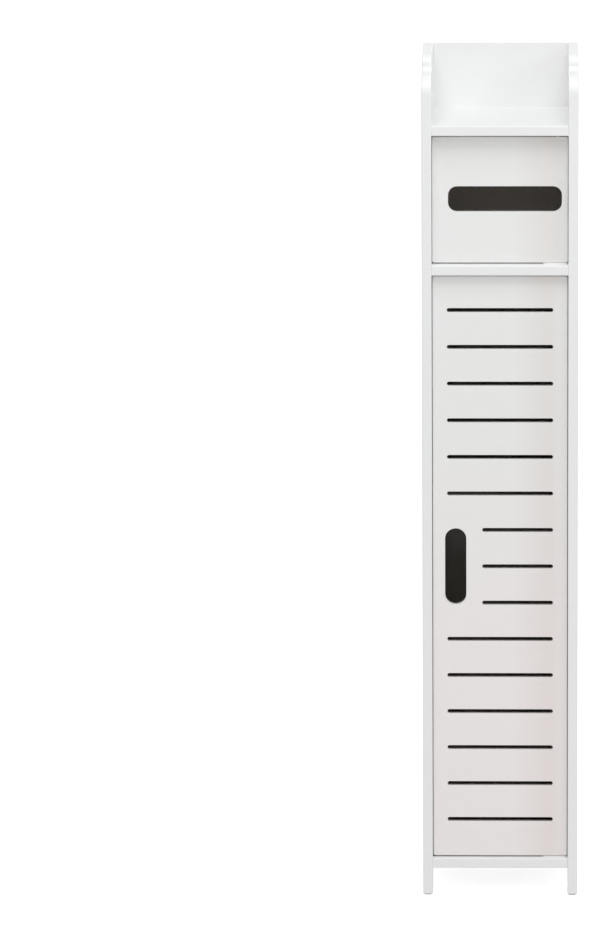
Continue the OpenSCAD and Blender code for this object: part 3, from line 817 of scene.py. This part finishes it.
def set_out(tree, points, solid, turn):
    """Nodes that stand a solid on every point, along the point's facing, turned at random by up
    to that angle."""
    direction = tree.add(
        "GeometryNodeInputNamedAttribute", {"data_type": "FLOAT_VECTOR"}, {"Name": "facing"}
    )
    upright = tree.add("FunctionNodeAlignRotationToVector", {"axis": "Z"}, {"Vector": direction})
    angle = tree.add(
        "FunctionNodeRandomValue", {"data_type": "FLOAT"}, {"Min": 0.0, "Max": turn, "Seed": 7}
    )
    spin = tree.add("FunctionNodeAxisAngleToRotation", inputs={"Axis": (0, 0, 1), "Angle": angle})
    rotation = tree.add(
        "FunctionNodeRotateRotation",
        {"rotation_space": "LOCAL"},
        {"Rotation": upright, "Rotate By": spin},
    )
    return tree.add(
        "GeometryNodeInstanceOnPoints",
        inputs={"Points": points, "Instance": solid, "Rotation": rotation},
    )


def points_mesh(places):
    """A mesh of loose points that know which way the piece on them faces."""
    mesh = bpy.data.meshes.new("places")
    mesh.from_pydata([place for place, direction in places], [], [])
    attribute = mesh.attributes.new("facing", "FLOAT_VECTOR", "POINT")
    for item, (place, direction) in zip(attribute.data, places):
        item.vector = direction
    return mesh


round_head = {
    "Shank radius": 1.4 * mm,
    "Length": 12 * mm,
    "Tip": 4 * mm,
    "Head radius": 2.7 * mm,
    "Raised": 1.6 * mm,
    "Sunk": 0.0,
    "Rounding": 0.7 * mm,
    "Cross length": 3 * mm,
    "Cross width": 0.7 * mm,
    "Cross depth": 0.7 * mm,
}
rim_share = 0.45
crown_radius_share = 0.75
screw_tree, size = geometry_tree("cross_screw", round_head)
screw = turned(
    screw_tree,
    [
        (0, 0 - size["Length"]),
        (size["Shank radius"], size["Tip"] - size["Length"]),
        (size["Shank radius"], 0 - size["Sunk"]),
        (size["Head radius"], 0),
        (size["Head radius"], size["Raised"] * rim_share),
        (size["Head radius"] * crown_radius_share, size["Raised"]),
        (0, size["Raised"]),
    ],
    size["Rounding"],
)
lift = screw_tree.add("ShaderNodeCombineXYZ", inputs={"Z": size["Raised"]})
arms = []
for x, y in (("Cross length", "Cross width"), ("Cross width", "Cross length")):
    block = screw_tree.add(
        "ShaderNodeCombineXYZ", inputs={"X": size[x], "Y": size[y], "Z": 2 * size["Cross depth"]}
    )
    arm = screw_tree.add("GeometryNodeMeshCube", inputs={"Size": block})
    arms.append(
        screw_tree.add("GeometryNodeTransform", inputs={"Geometry": arm, "Translation": lift})
    )
screw = screw_tree.add(
    "GeometryNodeMeshBoolean",
    {"operation": "DIFFERENCE", "solver": "EXACT"},
    {"Mesh 1": screw, "Mesh 2": arms, "Self Intersection": True},
)
finish_geometry(screw_tree, set_out(screw_tree, size["Geometry"], screw, math.pi), zinc)


def add_screws(name, places, sizes, body, node):
    """Drives a screw at every place and puts them all in one piece, which stands for a node."""
    screws = piece_from(points_mesh(places), screw_tree, sizes, name)
    screws.data.set_sharp_from_angle(angle=sharp_edge_angle)
    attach(screws, body)
    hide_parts(node)


back_places = [
    ((side * (inner_x - screw_inset), back_high.y, (low.z + high.z) / 2), (0, 1, 0))
    for low, high in shelf_boxes
    for side in (-1, 1)
]
back_screw_sizes = {**round_head, "Length": 16 * mm}
add_screws("back_screws", back_places, back_screw_sizes, "cabinet", "back_panel_screws")


# The cover caps: flush discs of moulded white plastic with a slight crown, pressed over the
# heads of the shelf screws in both sides.
def moulded_plastic(name, colour):
    """Moulded plastic: faint flow marks, a fine eroded texture and an even sheen."""
    material, tree = new_material(name)
    place = tree.add("ShaderNodeTexCoord")["Object"]
    flow = noise(tree, place, scale=90, detail=3, roughness=0.55, distortion=1.2)
    texture = noise(tree, place, scale=2600, detail=2, roughness=0.6)
    shade = tuple(0.90 * channel for channel in colour)
    shader = tree.add(
        "ShaderNodeBsdfPrincipled",
        inputs={
            "Base Color": tree.mix(flow, (*colour, 1), (*shade, 1)),
            "Roughness": 0.34 + texture * 0.16,
            "Normal": relief(tree, texture + flow * 2, strength=0.3, depth=0.03 * mm),
            "Specular IOR Level": 0.45,
        },
    )
    finish_material(tree, shader)
    return material


white_plastic = moulded_plastic("white_plastic", (0.80, 0.80, 0.78))
cap_sizes = {
    "Radius": 5.5 * mm,
    "Thickness": 1.6 * mm,
    "Edge": 0.05 * mm,
    "Crown": 0.25 * mm,
    "Rim": 0.35 * mm,
}
slope_radius_share = 0.6
slope_height_share = 0.8
tree, size = geometry_tree("cover_cap", cap_sizes)
cap = turned(
    tree,
    [
        (0, 0 - size["Thickness"]),
        (size["Radius"], 0 - size["Thickness"]),
        (size["Radius"], size["Edge"]),
        (size["Radius"] * slope_radius_share, size["Crown"] * slope_height_share),
        (0, size["Crown"]),
    ],
    size["Rim"],
)
finish_geometry(tree, set_out(tree, size["Geometry"], cap, 0.0), white_plastic)
for side, name in sides:
    places = [((side * side_high.x, y, z), (side, 0, 0)) for z, y in shelf_screw_places]
    caps = piece_from(points_mesh(places), tree, cap_sizes, "cover_caps_" + name)
    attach(caps, "cabinet")
    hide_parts("screw_caps_" + name)


# The feet: a pad of moulded white plastic under each leg, held by one nail whose head is sunk
# in the pad.
pad_rounding = 0.5 * mm
softened("foot_pads", "leg_pads", "cabinet", white_plastic, pad_rounding)
finish(zinc, "foot_nails")


# The pivots: a white-coated steel plate with a riveted pin on each shelf, held by two
# countersunk screws, and a moulded bush pressed into each end of a door. The pin runs in the
# bush.
def powder_coat(name):
    """White powder coat on steel: a coarse orange peel and faint grey rub marks."""
    material, tree = new_material(name)
    place = tree.add("ShaderNodeTexCoord")["Object"]
    peel = noise(tree, place, scale=1400, detail=2)
    rubbed = noise(tree, place, scale=300, detail=4, roughness=0.7)
    marks = rubbed.above(0.62, 0.2) * 0.2
    shader = tree.add(
        "ShaderNodeBsdfPrincipled",
        inputs={
            "Base Color": tree.mix(marks, (0.88, 0.88, 0.87, 1), (0.55, 0.55, 0.54, 1)),
            "Roughness": 0.3 + rubbed * 0.2,
            "Normal": relief(tree, peel, strength=0.4, depth=0.03 * mm),
        },
    )
    finish_material(tree, shader)
    return material


plate_names = [
    "door_pivot_plate_lower", "door_pivot_plate_upper",
    "tissue_pivot_plate_lower", "tissue_pivot_plate_upper",
]
plate_t = 1.2 * mm
plate_screw_shares = (0.2, 0.84)
finish(powder_coat("powder_coat"), *plate_names)
finish(white_plastic, "door_pivot_bushes", "tissue_pivot_bushes")

plate_places = []
for name in plate_names:
    low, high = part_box(name)
    up = 1 if name.endswith("lower") else -1
    face = low.z + plate_t if up > 0 else high.z - plate_t
    for share in plate_screw_shares:
        x = low.x + share * (high.x - low.x)
        plate_places.append(((x, (low.y + high.y) / 2, face), (0, 0, up)))
flat_head = {
    **round_head,
    "Raised": 0.04 * mm,
    "Sunk": 0.9 * mm,
    "Rounding": 0.12 * mm,
    "Cross depth": 0.5 * mm,
}
plate_screw_sizes = {**flat_head, "Length": 7.5 * mm, "Tip": 3 * mm}
add_screws("plate_screws", plate_places, plate_screw_sizes, "cabinet", "pivot_plate_screws")


# The cupboard door: a thinner coated board with fifteen milled slots and a finger hole.
# The three slots beside the finger hole are shorter. All rims are softened a little.
door_white_upper = (0.868, 0.866, 0.853)
door_white_lower = (0.90, 0.848, 0.845)
door_corner = 2.2 * mm
door_sizes = {
    "Width": door_high.x - door_low.x,
    "Height": door_high.z - door_low.z,
    "Thickness": door_high.y - door_low.y,
    "Corner radius": door_corner,
    "Edge roll": 1.5 * mm,
    "Rim roll": 0.5 * mm,
    "Slot count": 15,
    "Slot height": 6 * mm,
    "Slot margin": 20.3 * mm,
    "Top margin": 48.5 * mm,
    "Bottom margin": 53.5 * mm,
    "Finger width": 30 * mm,
    "Finger height": 110 * mm,
    "Finger margin": 17.4 * mm,
    "Finger gap": 22.5 * mm,
}
rear_skin = 2 * mm
# Where the painted shade on the hinge side of the doors starts, and how it eases off at the hinged edge.
shade_from_x = 42 * mm
shade_spread = 46 * mm
hinge_edge_x = 82 * mm
hinge_edge_spread = 14 * mm
hinge_edge_share = 0.8


def door_rear(axes):
    """1 on the rear face of either door, which gets a darker tone as painted shade."""
    cupboard = axes["Y"].above(door_high.y - rear_skin, sharp_step)
    tissue = axes["Y"].above(tissue_high.y - rear_skin, sharp_step)
    on_tissue_door = axes["Z"].above(tissue_low.z - rear_skin, sharp_step)
    return cupboard * (1 - on_tissue_door) + tissue * on_tissue_door


def hinge_side_shade(axes):
    """Painted shade: 1 on the part of either door towards its hinges, where a warm, darker tone stands
    for the shade of the right side panel, and less on the hinged edge."""
    edge = axes["X"].above(hinge_edge_x, hinge_edge_spread)
    return axes["X"].above(shade_from_x, shade_spread) * (1 - edge * hinge_edge_share)


door_coat = coated_board("door_coat", door_white_upper, door_white_lower, door_rear, hinge_side_shade)


def round_rectangle(tree, width, height, radius, steps):
    """Nodes for a closed curve round a rectangle with round corners, counter-clockwise."""
    around = tree.add(
        "GeometryNodeCurvePrimitiveQuadrilateral", inputs={"Width": width, "Height": height}
    )
    return tree.add(
        "GeometryNodeFilletCurve", {"mode": "POLY"}, {"Curve": around, "Radius": radius, "Count": steps}
    )


def opening(tree, width, height, radius, roll, steps):
    """Nodes for the clockwise curve where the board starts to roll into a rounded opening."""
    path = round_rectangle(tree, width + 2 * roll, height + 2 * roll, radius + roll, steps)
    return tree.add("GeometryNodeReverseCurve", inputs={"Curve": path})


def moved(tree, curve, x, y):
    """Nodes that move a curve in its plane."""
    place = tree.add("ShaderNodeCombineXYZ", inputs={"X": x, "Y": y})
    return tree.add("GeometryNodeTransform", inputs={"Geometry": curve, "Translation": place})


corner_steps = 5
slot_steps = 6
finger_steps = 14
end_flat = 0.1 * mm
tree, size = geometry_tree("louvred_door", door_sizes)
roll = size["Edge roll"]
rim = size["Rim roll"]
outline = round_rectangle(
    tree,
    size["Width"] - 2 * roll,
    size["Height"] - 2 * roll,
    size["Corner radius"] - roll,
    corner_steps,
)
half_width = size["Width"] / 2
half_height = size["Height"] / 2
lowest = size["Bottom margin"] - half_height
highest = half_height - size["Top margin"]
pitch = (highest - lowest) / (size["Slot count"] - 1)
finger_x = size["Finger margin"] + size["Finger width"] / 2 - half_width
finger_y = (highest + lowest) / 2
slot_right = half_width - size["Slot margin"]
short_left = finger_x + size["Finger width"] / 2 + size["Finger gap"]


def slots(left, right, beside):
    """The slots from left to right: those beside the finger hole, or all the others."""
    start = tree.add("ShaderNodeCombineXYZ", inputs={"X": (left + right) / 2, "Y": lowest})
    step = tree.add("ShaderNodeCombineXYZ", inputs={"Y": pitch})
    column = tree.add(
        "GeometryNodeMeshLine",
        inputs={"Count": size["Slot count"], "Start Location": start, "Offset": step},
    )
    position = tree.add("GeometryNodeInputPosition")
    y = tree.add("ShaderNodeSeparateXYZ", inputs={"Vector": position})["Y"]
    near = abs(y - finger_y) < size["Finger height"] / 2 + size["Slot height"]
    end_radius = size["Slot height"] / 2 - end_flat
    slot = opening(tree, right - left, size["Slot height"], end_radius, rim, slot_steps)
    return tree.add(
        "GeometryNodeInstanceOnPoints",
        inputs={"Points": column, "Selection": near if beside else 1 - near, "Instance": slot},
    )


finger_radius = size["Finger width"] / 2 - end_flat
finger_hole = opening(
    tree, size["Finger width"], size["Finger height"], finger_radius, rim, finger_steps
)
holes = [
    slots(0 - slot_right, slot_right, False),
    slots(short_left, slot_right, True),
    moved(tree, finger_hole, finger_x, finger_y),
]
holes = tree.add("GeometryNodeJoinGeometry", inputs={"Geometry": holes})
holes = tree.add("GeometryNodeRealizeInstances", inputs={"Geometry": holes})
board = rolled_board(tree, outline, holes, size["Thickness"], roll, rim)
finish_geometry(tree, board, door_coat)
door = piece_from(bpy.data.meshes.new("door"), tree, door_sizes, "louvred_door")


def stand_up(piece, low, high):
    """Turns a board from the XY plane to face the front, between two corners."""
    middle = (low + high) / 2
    turn = Matrix.Rotation(math.pi / 2, 4, "X")
    piece.data.transform(Matrix.Translation((middle.x, low.y, middle.z)) @ turn)


bush_hole_radius = 3.3 * mm
bush_hole_depth = 11.5 * mm


def bush_holes(bushes, low, high):
    """The tool for the holes in the lower and upper edge of a door that take its bushes."""
    bush_low, bush_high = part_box(bushes)
    middle = (bush_low + bush_high) / 2
    ends = [
        facing((middle.x, middle.y, low.z), (0, 0, 1)),
        facing((middle.x, middle.y, high.z), (0, 0, -1)),
    ]
    return turned_tool([(bush_hole_radius, -overrun), (bush_hole_radius, bush_hole_depth)], ends)


stand_up(door, door_low, door_high)
cut(door, [bush_holes("door_pivot_bushes", door_low, door_high)])
weigh_normals(door)
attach(door, "cupboard_door")
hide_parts("cupboard_door")


# The tissue door: the same board as the cupboard door, a little thinner, with one wide rounded
# slot for the tissues at half the height of its compartment.
divider_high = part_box("divider_shelf")[1]
tissue_sizes = {
    "Width": tissue_high.x - tissue_low.x,
    "Height": tissue_high.z - tissue_low.z,
    "Thickness": tissue_high.y - tissue_low.y,
    "Corner radius": door_corner,
    "Edge roll": 0.6 * mm,
    "Rim roll": 0.8 * mm,
    "Slot height": 36 * mm,
    "Slot radius": 12.5 * mm,
    "Left margin": 22.5 * mm,
    "Right margin": 8.5 * mm,
    "Slot rise": (tray_low.z + divider_high.z - tissue_high.z - tissue_low.z) / 2,
}
tissue_slot_steps = 12
tree, size = geometry_tree("tissue_door", tissue_sizes)
roll = size["Edge roll"]
rim = size["Rim roll"]
outline = round_rectangle(
    tree,
    size["Width"] - 2 * roll,
    size["Height"] - 2 * roll,
    size["Corner radius"] - roll,
    corner_steps,
)
slot_width = size["Width"] - size["Left margin"] - size["Right margin"]
slot_x = (size["Left margin"] - size["Right margin"]) / 2
tissue_slot = opening(
    tree, slot_width, size["Slot height"], size["Slot radius"], rim, tissue_slot_steps
)
tissue_slot = moved(tree, tissue_slot, slot_x, size["Slot rise"])
board = rolled_board(tree, outline, tissue_slot, size["Thickness"], roll, rim)
finish_geometry(tree, board, door_coat)
tissue_door = piece_from(bpy.data.meshes.new("tissue_door"), tree, tissue_sizes, "tissue_panel")
stand_up(tissue_door, tissue_low, tissue_high)
cut(tissue_door, [bush_holes("tissue_pivot_bushes", tissue_low, tissue_high)])
weigh_normals(tissue_door)
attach(tissue_door, "tissue_door")
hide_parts("tissue_door")


# The magnetic catches: a moulded housing screwed up under a shelf through its two ears, a
# ferrite block between two steel poles in its pocket, and a steel strike plate that one screw
# holds on the rear of the door.
def sintered_ferrite(name):
    """Pressed and sintered ferrite: dull near-black grains with a few bright specks."""
    material, tree = new_material(name)
    place = tree.add("ShaderNodeTexCoord")["Object"]
    grains = tree.add("ShaderNodeTexVoronoi", inputs={"Vector": place, "Scale": 2200})
    clouds = noise(tree, place, scale=240, detail=4, roughness=0.7)
    body = tree.mix(clouds, (0.020, 0.020, 0.023, 1), (0.050, 0.048, 0.050, 1))
    specks = grains.above(0.72, 0.1) * 0.5
    shader = tree.add(
        "ShaderNodeBsdfPrincipled",
        inputs={
            "Base Color": tree.mix(specks, body, (0.16, 0.16, 0.17, 1)),
            "Roughness": 0.55 + clouds * 0.25,
            "Normal": relief(tree, grains + clouds, strength=0.6, depth=0.05 * mm),
        },
    )
    finish_material(tree, shader)
    return material


finish(sintered_ferrite("sintered_ferrite"), "door_catch_magnet", "tissue_catch_magnet")
finish(zinc, "door_catch_poles", "tissue_catch_poles", "door_strike_plate", "tissue_strike_plate")
catch_rounding = 0.6 * mm
ear_t = 3 * mm
ear_l = 9 * mm
strike_screw_sizes = {**flat_head, "Length": 8 * mm}
catch_places = []
for prefix, body in (("door", "cupboard_door"), ("tissue", "tissue_door")):
    housing = prefix + "_catch_housing"
    softened(
        housing, prefix + "_catch_body", "cabinet", white_plastic, catch_rounding
    )
    low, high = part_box(housing)
    for x in (low.x + ear_l / 2, high.x - ear_l / 2):
        catch_places.append(((x, (low.y + high.y) / 2, high.z - ear_t), (0, 0, -1)))
    low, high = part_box(prefix + "_strike_plate")
    middle = (low + high) / 2
    strike_place = ((middle.x, high.y, middle.z), (0, 1, 0))
    add_screws(
        prefix + "_strike_fixing", [strike_place], strike_screw_sizes, body, prefix + "_strike_screw"
    )
add_screws("catch_fixing_screws", catch_places, round_head, "cabinet", "catch_screws")
